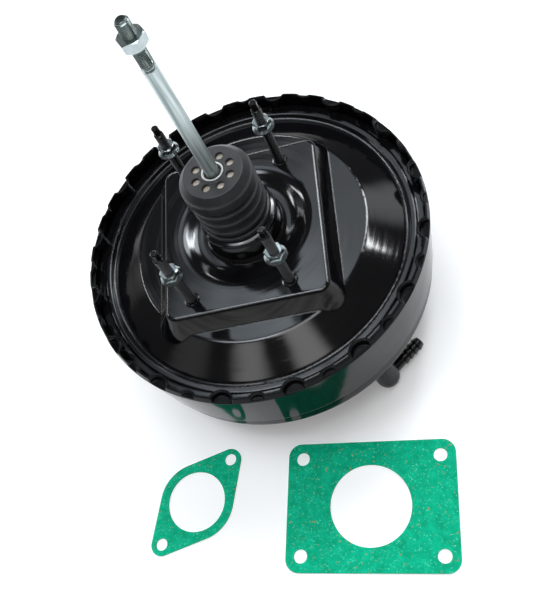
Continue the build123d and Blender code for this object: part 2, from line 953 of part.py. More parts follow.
valve = valve_plane()
disc_top = chamber_low + 0.1 + disc_valve_t
nodes = {
    "rear_shell": rear_shell(),
    "neck": neck(),
    "front_shell": front_shell(),
    "rear_plate": rear_plate(),
    "firewall_studs": at_spots([firewall_stud()] * 4, stud_spots()),
    "flange_nuts": at_spots([flange_nut(top) for top in nut_tops], stud_spots()),
    "front_plate": front_plate(),
    "master_cylinder_studs": at_spots([master_cylinder_stud()] * 2, mc_spots()),
    "rear_seal": rear_seal(),
    "rear_seal_retainer": rear_seal_retainer(),
    "front_seal": front_seal(),
    "front_seal_retainer": front_seal_retainer(),
    "power_piston": power_piston(),
    "diaphragm_plate": diaphragm_plate(),
    "diaphragm": diaphragm(),
    "diaphragm_retainer": diaphragm_retainer(),
    "return_spring": coil(
        coil_r, wire_r, coil_turns, pad_z + sheet + front_plate_t + fit_gap, hub_top - hub_web - fit_gap
    ),
    "reaction_disc": rod(socket_r - 0.1, disc_low, socket_top),
    "output_rod": output_rod(),
    "output_rod_retainer": output_rod_retainer(),
    "output_rod_screw": output_rod_screw(),
    "valve_plunger": valve_plunger(),
    "stop_key": stop_key(),
    "poppet_valve": poppet_valve(),
    "poppet_retainer": poppet_retainer(),
    "poppet_spring": coil(
        poppet_coil_r, poppet_wire_r, poppet_turns, poppet_low + poppet_t + fit_gap, cup_low - fit_gap
    ),
    "rod_return_spring": coil(
        rod_coil_r, rod_wire_r, rod_turns, cup_low + 1.2 + fit_gap, filter_low - rod_collar_t - 1 - fit_gap
    ),
    "input_rod": input_rod(),
    "jam_nut": jam_nut(),
    "dust_boot": dust_boot(),
    "boot_ring": boot_ring(),
    "filter_element": filter_element(),
    "check_valve_grommet": valve * grommet(),
    "check_valve_body": valve * check_valve_body(),
    "check_valve_disc": valve * check_valve_disc(),
    "check_valve_spring": valve * coil(
        disc_coil_r, disc_wire_r, disc_turns, disc_top + fit_gap, chamber_high - fit_gap
    ),
    "firewall_gasket": firewall_gasket(),
    "master_cylinder_gasket": master_cylinder_gasket(),
}

for name, solid in nodes.items():
    export_step(solid, f"parts/{name}.step")
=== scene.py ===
import json
from math import atan2, cos, hypot, pi, radians, sin, sqrt, tan

import bmesh
import bpy
from mathutils import Matrix, Vector


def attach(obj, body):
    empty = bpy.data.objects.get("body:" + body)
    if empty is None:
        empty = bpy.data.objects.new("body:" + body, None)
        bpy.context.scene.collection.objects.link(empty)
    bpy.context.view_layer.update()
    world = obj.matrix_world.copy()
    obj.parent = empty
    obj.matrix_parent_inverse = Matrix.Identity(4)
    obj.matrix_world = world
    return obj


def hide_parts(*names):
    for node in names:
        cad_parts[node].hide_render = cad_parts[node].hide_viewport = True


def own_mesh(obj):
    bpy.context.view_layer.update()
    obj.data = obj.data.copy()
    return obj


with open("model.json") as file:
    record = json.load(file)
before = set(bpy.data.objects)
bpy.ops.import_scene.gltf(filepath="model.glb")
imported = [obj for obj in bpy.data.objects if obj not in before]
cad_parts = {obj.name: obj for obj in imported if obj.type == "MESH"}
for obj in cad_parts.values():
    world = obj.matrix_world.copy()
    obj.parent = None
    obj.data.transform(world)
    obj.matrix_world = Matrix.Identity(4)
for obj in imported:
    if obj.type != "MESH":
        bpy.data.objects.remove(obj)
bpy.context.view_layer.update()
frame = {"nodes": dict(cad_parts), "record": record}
print("frame loaded")


# mesh helpers, in millimetres until a piece is placed

millimetre = 0.001
joinGap = 0.0005  # points closer than this are joined
threadForm = {"surface": 0.8, "crest": 1.25}  # least share of the radius that is cut, and the crests' width


def lathe(corners, steps, closed=True, longest=None, arc=4):
    bm = bmesh.new()  # a corner is a radius, a height and, if it is round, its bend
    spots = [bm.verts.new((corner[0], 0, corner[1])) for corner in corners]
    for first, second in zip(spots, spots[1:]):
        bm.edges.new((first, second))
    if closed:
        bm.edges.new((spots[-1], spots[0]))
    for spot, corner in zip(spots, corners):
        if len(corner) > 2:
            ways = [(edge.other_vert(spot).co - spot.co).normalized() for edge in spot.link_edges]
            turn = pi - ways[0].angle(ways[1])
            bmesh.ops.bevel(
                bm, geom=[spot], offset=corner[2] * tan(turn / 2), offset_type="OFFSET",
                segments=arc, profile=0.5, affect="VERTICES", material=-1,
            )
    if longest:
        for edge in list(bm.edges):
            cuts = int(edge.calc_length() / longest)
            if cuts:
                bmesh.ops.subdivide_edges(bm, edges=[edge], cuts=cuts)
    bmesh.ops.spin(
        bm, geom=bm.verts[:] + bm.edges[:], cent=(0, 0, 0), axis=(0, 0, 1),
        angle=2 * pi, steps=steps, use_merge=True,
    )
    bmesh.ops.remove_doubles(bm, verts=bm.verts, dist=joinGap)
    bmesh.ops.recalc_face_normals(bm, faces=bm.faces)
    return bm


def breakEdges(bm, edges, offset):
    bmesh.ops.bevel(
        bm, geom=edges, offset=offset, offset_type="OFFSET", segments=3, profile=0.5,
        affect="EDGES", material=-1,
    )


def cutThread(bm, radius, depth, pitch, low, high):
    for vert in bm.verts:
        spot = vert.co
        across = hypot(spot.x, spot.y)
        if low <= spot.z <= high and across > radius * threadForm["surface"]:
            phase = (spot.z / pitch - atan2(spot.y, spot.x) / (2 * pi)) % 1.0
            ease = min(1.0, (spot.z - low) / pitch, (high - spot.z) / pitch)
            crest = min(1.0, abs(phase * 2 - 1) * threadForm["crest"])
            kept = (min(across, radius) - depth * max(ease, 0.0) * (1 - crest)) / across
            spot.x *= kept
            spot.y *= kept


def placePiece(bm, name, body, nodes, finish, place=None, smoothAngle=38):
    bm.transform(Matrix.Scale(millimetre, 4) @ (place or Matrix.Identity(4)))
    mesh = bpy.data.meshes.new(name)
    for face in bm.faces:
        face.smooth = True
    for edge in bm.edges:
        edge.smooth = len(edge.link_faces) == 2 and edge.calc_face_angle(0) < radians(smoothAngle)
    bm.to_mesh(mesh)
    bm.free()
    piece = bpy.data.objects.new(name, mesh)
    bpy.context.scene.collection.objects.link(piece)
    mesh.materials.append(finish)
    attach(piece, body)
    if nodes:
        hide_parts(*nodes)
    return piece


# material helpers

def newMaterial(name):
    material = bpy.data.materials.new(name)
    material.use_nodes = True
    nodes = material.node_tree.nodes
    return material, nodes, material.node_tree.links, nodes["Principled BSDF"]


def feed(links, socket, value):
    # a value is a plain one, or another node's output
    if isinstance(value, bpy.types.NodeSocket):
        links.new(value, socket)
    else:
        socket.default_value = value


def maths(nodes, links, operation, *values):
    step = nodes.new("ShaderNodeMath")
    step.operation = operation
    for socket, value in zip(step.inputs, values):
        feed(links, socket, value)
    return step.outputs["Value"]


def vectors(nodes, links, operation, *values):
    step = nodes.new("ShaderNodeVectorMath")
    step.operation = operation
    for socket, value in zip(step.inputs, values):
        feed(links, socket, value)
    return step.outputs["Value" if operation in ("LENGTH", "DOT_PRODUCT") else "Vector"]


def noiseOn(nodes, links, coords, scale, detail=4.0, roughness=0.55):
    noise = nodes.new("ShaderNodeTexNoise")
    noise.inputs["Scale"].default_value = scale
    noise.inputs["Detail"].default_value = detail
    noise.inputs["Roughness"].default_value = roughness
    links.new(coords, noise.inputs["Vector"])
    return noise.outputs["Fac"]


def rampFrom(nodes, links, source, stops):
    ramp = nodes.new("ShaderNodeValToRGB")
    while len(ramp.color_ramp.elements) < len(stops):
        ramp.color_ramp.elements.new(0.5)
    for element, (place, colour) in zip(ramp.color_ramp.elements, stops):
        element.position = place
        element.color = (*colour, 1)
    links.new(source, ramp.inputs["Fac"])
    return ramp.outputs["Color"]


def maskFrom(nodes, links, source, low, high):
    return rampFrom(nodes, links, source, [(low, (0, 0, 0)), (high, (1, 1, 1))])


def spread(nodes, links, source, low, high):
    steps = nodes.new("ShaderNodeMapRange")
    steps.inputs["To Min"].default_value = low
    steps.inputs["To Max"].default_value = high
    links.new(source, steps.inputs["Value"])
    return steps.outputs["Result"]


def colourMix(nodes, links, factor, first, second):
    mix = nodes.new("ShaderNodeMix")
    mix.data_type = "RGBA"
    links.new(factor, mix.inputs["Factor"])
    feed(links, mix.inputs[6], first)
    feed(links, mix.inputs[7], second)
    return mix.outputs[2]


def bumpFrom(nodes, links, source, strength, distance, under=None):
    bump = nodes.new("ShaderNodeBump")
    bump.inputs["Strength"].default_value = strength
    bump.inputs["Distance"].default_value = distance
    links.new(source, bump.inputs["Height"])
    if under:
        links.new(under, bump.inputs["Normal"])
    return bump.outputs["Normal"]


def fromAxis(nodes, links, coords, scale):
    # the place square to the axis, and its distance from it
    flat = vectors(nodes, links, "MULTIPLY", coords, (scale, scale, 0))
    return flat, vectors(nodes, links, "LENGTH", flat)


def ringNoise(nodes, links, flat, across, ring, along):
    # noise drawn out round the axis, with its own fineness across and along
    rings = maths(nodes, links, "MULTIPLY", across, ring)
    turned = vectors(nodes, links, "MULTIPLY", flat, (along,) * 3)
    stacked = nodes.new("ShaderNodeCombineXYZ")
    links.new(rings, stacked.inputs["Z"])
    spun = vectors(nodes, links, "ADD", turned, stacked.outputs["Vector"])
    return noiseOn(nodes, links, spun, 1.0, 2.0, 0.5)


# finishes

def mottled(name, look):
    # one coat or solid colour with faint mottling, uneven gloss and a fine surface
    material, nodes, links, shader = newMaterial(name)
    coords = nodes.new("ShaderNodeTexCoord").outputs["Object"]
    patches = noiseOn(nodes, links, coords, look["patch"])
    grain = noiseOn(nodes, links, coords, look["grain"], 3.0)
    colour = rampFrom(nodes, links, patches, [(0.35, look["dark"]), (0.65, look["light"])])
    links.new(colour, shader.inputs["Base Color"])
    links.new(spread(nodes, links, patches, look["smooth"], look["rough"]), shader.inputs["Roughness"])
    links.new(bumpFrom(nodes, links, grain, look["bump"], look["bumpDepth"]), shader.inputs["Normal"])
    shader.inputs["Metallic"].default_value = look.get("metallic", 0.0)
    shader.inputs["Specular IOR Level"].default_value = look.get("specular", 0.5)
    return material


mottledLooks = {
    "blackStudFinish": {
        "dark": (0.0025, 0.0025, 0.003), "light": (0.005, 0.005, 0.006), "patch": 60.0, "grain": 2500.0,
        "smooth": 0.12, "rough": 0.22, "bump": 0.05, "bumpDepth": 0.0002,
    },
    "darkRubber": {
        "dark": (0.008, 0.0085, 0.0095), "light": (0.016, 0.0165, 0.018), "patch": 45.0, "grain": 1800.0,
        "smooth": 0.36, "rough": 0.48, "bump": 0.15, "bumpDepth": 0.0003,
    },
    "blackPlastic": {
        "dark": (0.003, 0.003, 0.0035), "light": (0.006, 0.006, 0.007), "patch": 50.0, "grain": 1500.0,
        "smooth": 0.22, "rough": 0.34, "bump": 0.08, "bumpDepth": 0.0002, "specular": 0.4,
    },
    "pistonPlastic": {
        "dark": (0.03, 0.03, 0.033), "light": (0.045, 0.045, 0.048), "patch": 40.0, "grain": 1400.0,
        "smooth": 0.45, "rough": 0.6, "bump": 0.1, "bumpDepth": 0.0002,
    },
    "brightZinc": {
        "dark": (0.36, 0.41, 0.42), "light": (0.5, 0.56, 0.57), "patch": 90.0, "grain": 1200.0,
        "smooth": 0.13, "rough": 0.26, "bump": 0.1, "bumpDepth": 0.0002, "metallic": 1.0,
    },
    "threadZinc": {
        "dark": (0.16, 0.2, 0.19), "light": (0.34, 0.4, 0.39), "patch": 120.0, "grain": 1200.0,
        "smooth": 0.1, "rough": 0.2, "bump": 0.1, "bumpDepth": 0.0002, "metallic": 1.0,
    },
    "plainSteel": {
        "dark": (0.42, 0.43, 0.44), "light": (0.55, 0.56, 0.57), "patch": 60.0, "grain": 1200.0,
        "smooth": 0.28, "rough": 0.42, "bump": 0.08, "bumpDepth": 0.0002, "metallic": 1.0,
    },
    "springSteel": {
        "dark": (0.18, 0.18, 0.19), "light": (0.3, 0.3, 0.31), "patch": 60.0, "grain": 900.0,
        "smooth": 0.3, "rough": 0.45, "bump": 0.08, "bumpDepth": 0.0002, "metallic": 1.0,
    },
}

paintLook = {
    "dark": (0.0025, 0.0025, 0.003), "light": (0.0045, 0.0045, 0.005), "patch": 16.0,
    "smooth": 0.07, "rough": 0.13, "crease": 0.0018, "creaseSamples": 6,
    "wave": (20.0, 0.4, 0.0015),  # scale, strength and depth
    "rings": (
        (75.0, 7.0, 0.3, 0.0012), (1100.0, 9.0, 0.1, 0.0002),  # fineness across and along, strength, depth
    ),
}


def pressedPaint(name, shine):
    # gloss black paint over pressed sheet, with soft creases, rings from the press and a slow waviness
    look = paintLook
    material, nodes, links, shader = newMaterial(name)
    coords = nodes.new("ShaderNodeTexCoord").outputs["Object"]
    patches = noiseOn(nodes, links, coords, look["patch"])
    colour = rampFrom(nodes, links, patches, [(0.35, look["dark"]), (0.65, look["light"])])
    links.new(colour, shader.inputs["Base Color"])
    links.new(spread(nodes, links, patches, look["smooth"], look["rough"]), shader.inputs["Roughness"])
    creases = nodes.new("ShaderNodeBevel")
    creases.samples = look["creaseSamples"]
    creases.inputs["Radius"].default_value = look["crease"]
    scale, strength, depth = look["wave"]
    wave = noiseOn(nodes, links, coords, scale, 1.0, 0.4)
    normal = bumpFrom(nodes, links, wave, strength, depth, creases.outputs["Normal"])
    flat, across = fromAxis(nodes, links, coords, 1)
    for ring, along, strength, depth in look["rings"]:
        rings = ringNoise(nodes, links, flat, across, ring, along)
        normal = bumpFrom(nodes, links, rings, strength, depth, normal)
    links.new(normal, shader.inputs["Normal"])
    shader.inputs["Specular IOR Level"].default_value = shine
    return material


ringLook = {
    "dark": (0.5, 0.5, 0.48), "light": (0.66, 0.66, 0.63), "grain": 400.0, "rough": 0.5,
    # the recess colour is painted shade, which fades to pale with distance from the axis
    "recess": (0.012, 0.012, 0.013), "recessEdge": (0.715, 0.73),  # from dark to pale, in centimetres
}


def ringMaterial():
    # pale ring with painted shade: its recess round the rod is coloured dark
    look = ringLook
    material, nodes, links, shader = newMaterial("paleRing")
    coords = nodes.new("ShaderNodeTexCoord").outputs["Object"]
    grain = noiseOn(nodes, links, coords, look["grain"])
    pale = rampFrom(nodes, links, grain, [(0.35, look["dark"]), (0.65, look["light"])])
    across = fromAxis(nodes, links, coords, 100)[1]
    # mask for the painted shade in the recess round the rod
    rim = maskFrom(nodes, links, across, *look["recessEdge"])
    links.new(colourMix(nodes, links, rim, (*look["recess"], 1), pale), shader.inputs["Base Color"])
    shader.inputs["Roughness"].default_value = look["rough"]
    return material


feltLook = {
    "dark": (0.3, 0.25, 0.2), "light": (0.66, 0.6, 0.52), "wool": 220.0, "fibre": 900.0,
    "bump": 0.7, "bumpDepth": 0.0008, "rough": 0.95, "sheen": 0.4,
}


def feltMaterial():
    look = feltLook
    material, nodes, links, shader = newMaterial("beigeFelt")
    coords = nodes.new("ShaderNodeTexCoord").outputs["Object"]
    wool = noiseOn(nodes, links, coords, look["wool"], 6.0, 0.7)
    fibre = noiseOn(nodes, links, coords, look["fibre"], 5.0, 0.7)
    colour = rampFrom(nodes, links, wool, [(0.3, look["dark"]), (0.7, look["light"])])
    links.new(colour, shader.inputs["Base Color"])
    links.new(bumpFrom(nodes, links, fibre, look["bump"], look["bumpDepth"]), shader.inputs["Normal"])
    shader.inputs["Roughness"].default_value = look["rough"]
    shader.inputs["Sheen Weight"].default_value = look["sheen"]
    return material


fibreLook = {
    "dark": (0.001, 0.33, 0.17), "light": (0.003, 0.52, 0.29), "mottle": 130.0,
    "flecks": (  # colour, scale, and where the noise turns to a fleck
        ((0.1, 0.66, 0.42), 700.0, 0.62, 0.7), ((0.4, 0.24, 0.06), 430.0, 0.68, 0.72),
    ),
    "bump": 0.35, "bumpDepth": 0.0004, "rough": 0.72, "specular": 0.08,
}


def fibreMaterial():
    # pressed green fibre with pale and amber flecks
    look = fibreLook
    material, nodes, links, shader = newMaterial("greenFibre")
    coords = nodes.new("ShaderNodeTexCoord").outputs["Object"]
    mottle = noiseOn(nodes, links, coords, look["mottle"], 8.0, 0.75)
    colour = rampFrom(nodes, links, mottle, [(0.35, look["dark"]), (0.65, look["light"])])
    for fleck, scale, low, high in look["flecks"]:
        spots = noiseOn(nodes, links, coords, scale, 2.0, 0.6)
        colour = colourMix(nodes, links, maskFrom(nodes, links, spots, low, high), colour, (*fleck, 1))
    links.new(colour, shader.inputs["Base Color"])
    links.new(bumpFrom(nodes, links, mottle, look["bump"], look["bumpDepth"]), shader.inputs["Normal"])
    shader.inputs["Roughness"].default_value = look["rough"]
    shader.inputs["Specular IOR Level"].default_value = look["specular"]
    return material


barLook = {
    "dark": (0.3, 0.36, 0.36), "light": (0.6, 0.67, 0.67), "streak": 420.0, "drawn": 0.035,
    "rough": (0.5, 0.3), "bump": 0.15, "bumpDepth": 0.0002,
}


def drawnZinc():
    # teal-grey zinc on the drawn bar, streaked along it
    look = barLook
    material, nodes, links, shader = newMaterial("drawnZinc")
    coords = nodes.new("ShaderNodeTexCoord")
    drawn = nodes.new("ShaderNodeMapping")
    drawn.inputs["Scale"].default_value = (1, 1, look["drawn"])
    links.new(coords.outputs["Object"], drawn.inputs["Vector"])
    streaks = noiseOn(nodes, links, drawn.outputs["Vector"], look["streak"], 5.0, 0.5)
    colour = rampFrom(nodes, links, streaks, [(0.38, look["dark"]), (0.6, look["light"])])
    links.new(colour, shader.inputs["Base Color"])
    links.new(spread(nodes, links, streaks, *look["rough"]), shader.inputs["Roughness"])
    links.new(bumpFrom(nodes, links, streaks, look["bump"], look["bumpDepth"]), shader.inputs["Normal"])
    shader.inputs["Metallic"].default_value = 1.0
    return material


shellBlack = pressedPaint("glossBlackPaint", 0.55)
wallBlack = pressedPaint("frontShellPaint", 0.09)  # duller, on the shell that faces the pale ground
mottles = {name: mottled(name, look) for name, look in mottledLooks.items()}
barZinc = drawnZinc()
finishes = {
    "shell_black": shellBlack, "stud_black": mottles["blackStudFinish"], "zinc": mottles["brightZinc"],
    "boot_rubber": mottles["darkRubber"], "seal_rubber": mottles["darkRubber"], "felt": feltMaterial(),
    "ring_plastic": ringMaterial(), "piston_plastic": mottles["pistonPlastic"],
    "plain_steel": mottles["plainSteel"], "spring_steel": mottles["springSteel"],
    "valve_plastic": mottles["blackPlastic"], "gasket_fibre": fibreMaterial(),
}
ownFinishes = {"front_shell": wallBlack}
for entry in frame["record"]["subparts"]:
    for slot in frame["nodes"][entry["node"]].material_slots:
        slot.material = ownFinishes.get(entry["node"], finishes[entry["material_slot"]])
print("materials ready")


# dust boot: lip on the neck, three convolutions, cap with breather holes round the rod

bootSizes = {
    "wall": 2.0, "steps": 128, "longest": 1.2, "travel": 28.0,  # travel of the piston_slide joint
    "lip": (28.8, 26.5, 18.8, 23.0), "lipBend": 0.8,  # outer and inner radius, low and high
    "root": 24.8, "fold": 28.5, "folds": 3,
    "foldCorners": ((0.1, 0.7), (0.36, 4.1), (0.76, 4.1)),  # share of the pitch and bend, from the root up
    "band": (28.8, 56.0, 67.5), "bandFlare": 1.5, "bandBends": (0.8, 1.0, 5.0),
    "innerShoulder": (1.0, 3.0), "cap": (23.2, 73.0), "capBend": 1.0, "capInset": 0.5,
    "hole": 9.0, "holeRim": (1.6, 1.2, 0.3), "holeRimBends": (0.4, 0.2),
    "breathers": 8, "breatherCircle": 14.4, "breather": 3.1, "breatherEdge": 0.3,
    "breatherRoom": 0.8, "breatherSteps": 32, "level": 0.05,
}


def bootProfile():
    sizes = bootSizes
    wall = sizes["wall"]
    root = sizes["root"]
    hole = sizes["hole"]
    lipOuter, lipInner, lipLow, lipHigh = sizes["lip"]
    bandRadius, bandLow, bandHigh = sizes["band"]
    rootBend, flareBend, shoulderBend = sizes["bandBends"]
    shoulderDrop, innerBend = sizes["innerShoulder"]
    rimOuter, rimInner, rimRise = sizes["holeRim"]
    rimFoot, rimBend = sizes["holeRimBends"]
    capRadius, capTop = sizes["cap"]
    pitch = (bandLow - lipHigh) / sizes["folds"]
    flareTop = bandLow + sizes["bandFlare"]
    outside = [(lipOuter, lipLow, sizes["lipBend"]), (lipOuter, lipHigh, sizes["lipBend"])]
    inside = [(lipInner, lipLow), (lipInner, lipHigh)]
    for index in range(sizes["folds"]):
        low = lipHigh + index * pitch
        for radius, (share, bend) in zip((root, sizes["fold"], sizes["fold"]), sizes["foldCorners"]):
            outside.append((radius, low + share * pitch, bend))
            inside.append((radius - wall, low + share * pitch, bend))
    outside += [
        (root, bandLow, rootBend), (bandRadius, flareTop, flareBend), (bandRadius, bandHigh, shoulderBend),
        (capRadius, capTop, sizes["capBend"]), (hole + rimOuter, capTop, rimFoot),
        (hole + rimInner, capTop + rimRise, rimBend), (hole, capTop + rimRise, rimBend),
    ]
    inside += [
        (root - wall, bandLow, rootBend), (bandRadius - wall, flareTop, flareBend),
        (bandRadius - wall, bandHigh - shoulderDrop, innerBend),
        (capRadius - sizes["capInset"], capTop - wall), (hole, capTop - wall),
    ]
    return outside + inside[::-1]


def circleAt(bm, radius, spot, height):
    made = bmesh.ops.create_circle(
        bm, cap_ends=False, radius=radius, segments=bootSizes["breatherSteps"],
        matrix=Matrix.Translation((spot.x, spot.y, height)),
    )
    return list({edge for vert in made["verts"] for edge in vert.link_edges})


def openBreather(bm, spot):
    # the cap's two faces are opened round the spot, closed again up to a circle, and joined by a wall
    sizes = bootSizes
    radius = sizes["breather"]
    edge = sizes["breatherEdge"]
    top = sizes["cap"][1]
    loops = []
    for height, grown in ((top, radius + edge), (top - sizes["wall"], radius)):
        under = [
            face for face in bm.faces if abs(face.calc_center_median().z - height) < sizes["level"]
            and (face.calc_center_median().xy - spot).length < grown + sizes["breatherRoom"]
        ]
        rim = [side for side in {side for face in under for side in face.edges}
               if sum(face in under for face in side.link_faces) == 1]
        bmesh.ops.delete(bm, geom=under, context="FACES")
        loop = circleAt(bm, grown, spot, height)
        bmesh.ops.triangle_fill(bm, use_beauty=True, edges=rim + loop)
        loops.append(loop)
    middle = circleAt(bm, radius, spot, top - edge)
    bmesh.ops.bridge_loops(bm, edges=loops[0] + middle)
    bmesh.ops.bridge_loops(bm, edges=middle + loops[1])


def dustBoot():
    sizes = bootSizes
    bm = lathe(bootProfile(), sizes["steps"], longest=sizes["longest"], arc=6)
    for index in range(sizes["breathers"]):
        turn = (index + 0.5) * 2 * pi / sizes["breathers"]
        openBreather(bm, Vector((cos(turn), sin(turn))) * sizes["breatherCircle"])
    bmesh.ops.recalc_face_normals(bm, faces=bm.faces)
    boot = placePiece(
        bm, "dustBootMoulding", "casing", ["dust_boot"], mottles["darkRubber"])
    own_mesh(boot)


dustBoot()
print("dust boot done")


# firewall studs, with a rolled thread, a groove and a pilot end

studSizes = {
    "radius": 4.0, "pitch": 1.25, "depth": 0.35, "tip": 74.3, "tipChamfer": 0.8,
    "pilot": 2.9, "pilotLength": 6.0, "groove": 2.0, "grooveStep": 0.2,
    "threadLow": 2.0, "runOut": 0.6, "head": (7.5, 4.0), "headBend": 0.6, "plateBottom": -4.5,
    "collar": (5.3, 0.5), "collarSunk": 0.6, "collarBend": 0.4, "collarGap": (0.3, 0.4),
    "steps": 28, "smooth": 60,
    "spots": ((-46.0, 55.0), (34.0, 55.0), (34.0, -60.0), (-46.0, -60.0)),
}


def firewallStud(index, spot):
    sizes = studSizes
    radius = sizes["radius"]
    pilot = sizes["pilot"]
    grooveRadius = pilot + sizes["grooveStep"]
    pilotLow = sizes["tip"] - sizes["pilotLength"]
    threadHigh = pilotLow - sizes["groove"]
    plateBottom = sizes["plateBottom"]
    headRadius, headHeight = sizes["head"]
    collarRadius, collarTop = sizes["collar"]
    gapWidth, gapDepth = sizes["collarGap"]
    runOut = threadHigh - sizes["runOut"]
    bm = lathe([
        (0, plateBottom - headHeight), (headRadius, plateBottom - headHeight, sizes["headBend"]),
        (headRadius, plateBottom), (radius, plateBottom), (radius, -sizes["collarSunk"]),
        (collarRadius, -sizes["collarSunk"]), (collarRadius, collarTop, sizes["collarBend"]),
        (radius + gapWidth, collarTop), (radius, collarTop - gapDepth), (radius, runOut),
        (grooveRadius, threadHigh), (grooveRadius, pilotLow), (pilot, pilotLow),
        (pilot, sizes["tip"] - sizes["tipChamfer"]), (pilot - sizes["tipChamfer"], sizes["tip"]),
        (0, sizes["tip"]),
    ], sizes["steps"], closed=False, longest=sizes["pitch"] / 7)
    cutThread(bm, radius, sizes["depth"], sizes["pitch"], sizes["threadLow"], runOut)
    return placePiece(
        bm, f"firewallStud{index}", "casing", ["firewall_studs"],
        mottles["blackStudFinish"], Matrix.Translation((*spot, 0)), sizes["smooth"],
    )


for index, spot in enumerate(studSizes["spots"]):
    firewallStud(index, spot)
print("studs done")


# input rod: ball, shank and collar, hexagonal bar, thread

rodSizes = {
    "ball": (6.0, 8.8), "ballSteps": (32, 20), "low": 13.0, "neck": 4.0, "neckHigh": 15.6,
    "round": 5.2, "roundLow": 17.6, "collar": (10.0, 57.9, 59.9), "collarBend": 0.3, "shankSteps": 40,
    "hexFlats": 10.4, "hexLow": 79.0, "hexHigh": 184.8, "barBend": 0.45, "barEndBend": 1.0, "overlap": 1.0,
    "shank": 5.0, "tip": 224.99, "chamfer": 1.6, "pitch": 1.5, "depth": 0.85, "threadSteps": 36,
    "start": (0.6, 1.6, 2.4), "end": 0.3,  # relief under the thread, its two heights, and the bare tip
}


def rodShank():
    sizes = rodSizes
    ballRadius, ballHeight = sizes["ball"]
    collarRadius, collarLow, collarHigh = sizes["collar"]
    top = sizes["hexLow"] + sizes["overlap"]
    bm = lathe([
        (sizes["neck"], sizes["low"]), (sizes["neck"], sizes["neckHigh"]),
        (sizes["round"], sizes["roundLow"]), (sizes["round"], collarLow),
        (collarRadius, collarLow, sizes["collarBend"]), (collarRadius, collarHigh, sizes["collarBend"]),
        (sizes["round"], collarHigh), (sizes["round"], top), (0, top), (0, sizes["low"]),
    ], sizes["shankSteps"], closed=False)
    around, upward = sizes["ballSteps"]
    bmesh.ops.create_uvsphere(
        bm, u_segments=around, v_segments=upward, radius=ballRadius,
        matrix=Matrix.Translation((0, 0, ballHeight)),
    )
    return placePiece(bm, "inputRodShank", "rod", ["input_rod"], barZinc)


def rise(edge):
    return abs(edge.verts[0].co.z - edge.verts[1].co.z)


def rodBar():
    sizes = rodSizes
    corner = sizes["hexFlats"] / sqrt(3)
    middle = (sizes["hexHigh"] + sizes["hexLow"]) / 2
    bm = bmesh.new()
    bmesh.ops.create_cone(
        bm, cap_ends=True, segments=6, radius1=corner, radius2=corner,
        depth=sizes["hexHigh"] - sizes["hexLow"],
        matrix=Matrix.Translation((0, 0, middle)) @ Matrix.Rotation(pi / 6, 4, "Z"),
    )
    breakEdges(bm, [edge for edge in bm.edges if rise(edge) > 1], sizes["barBend"])
    breakEdges(bm, [edge for edge in bm.edges if rise(edge) < 0.01], sizes["barEndBend"])
    return placePiece(bm, "inputRodBar", "rod", ["input_rod"], barZinc, smoothAngle=25)


def rodThread():
    sizes = rodSizes
    radius = sizes["shank"]
    low = sizes["hexHigh"]
    relief, reliefHigh, threadLow = sizes["start"]
    bm = lathe([
        (0, low - sizes["overlap"]), (radius - relief, low - sizes["overlap"]),
        (radius - relief, low + reliefHigh), (radius, low + threadLow),
        (radius, sizes["tip"] - sizes["chamfer"]), (radius - sizes["chamfer"], sizes["tip"]),
        (0, sizes["tip"]),
    ], sizes["threadSteps"], closed=False, longest=sizes["pitch"] / 9)
    cutThread(
        bm, radius, sizes["depth"], sizes["pitch"], low + threadLow, sizes["tip"] - sizes["end"])
    return placePiece(
        bm, "inputRodThread", "rod", ["input_rod"], mottles["threadZinc"], smoothAngle=60)


rodShank()
rodBar()
rodThread()
print("input rod done")


# ground, light and camera

studio = {
    "ground": -0.135, "groundRadius": 25.0, "groundSteps": 96, "patch": 3.0,
    "white": ((0.93, 0.93, 0.93), (0.95, 0.95, 0.95)), "rough": 0.9, "specular": 0.1,
    "glow": 0.2, "farWhite": (0.6, 3.0),  # metres from the middle, between which the ground turns white
    "sky": ((0.1, 0.9), (0.16, 0.1), (0.6, 0.06), (1.0, 0.1)),  # grey by height, with a pale horizon
    "glows": (  # azimuth, elevation, core, reach, strength, coolness
        ("nearGlow", -77, 65, 3, 9, 2.8, 0.0),
        ("nearLeftGlow", -126, 57, 1, 9, 2.4, 0.0),
        ("leftGlow", -163, 43, 2, 12, 0.4, 0.0),
        ("farGlow", 101, 57, 0, 12, 1.5, 0.15),
        ("farLeftGlow", 119, 61, 0, 10, 2.2, 0.2),
        ("rightGlow", 44, 32, 2, 12, 1.6, 0.05),
        ("rightBackGlow", 64, 50, 8, 13, 8.0, 0.15),
        ("topGlow", 174, 74, 6, 12, 8.0, 0.15),
        ("backGlow", 150, 22, 2, 14, 0.5, 0.0),
    ),
    "lamps": (  # azimuth, elevation, distance, size, power
        ("overhead", -60, 84, 4.0, (2.4, 2.0), 62.0),
        ("rightStrip", 25, 45, 1.7, (0.3, 0.08), 2.0),
        ("backStrip", 106, 27, 2.0, (1.1, 0.3), 11.0),
        ("leftBackStrip", 150, 42, 1.8, (0.5, 0.14), 3.2),
        ("rightBackStrip", 60, 48, 1.8, (0.2, 0.5), 4.6),
    ),
    "lampColour": (0.97, 0.985, 1.0),
    "cameraPlace": (0.15746, -0.37373, 0.52788),
    "cameraRight": (0.95396, -0.06143, -0.29356),
    "cameraDown": (-0.19348, -0.87395, -0.44585),
    "cameraForward": (-0.22916, 0.48212, -0.84560),
    "lens": 49.42, "sensor": 36, "clip": (0.01, 50),
}


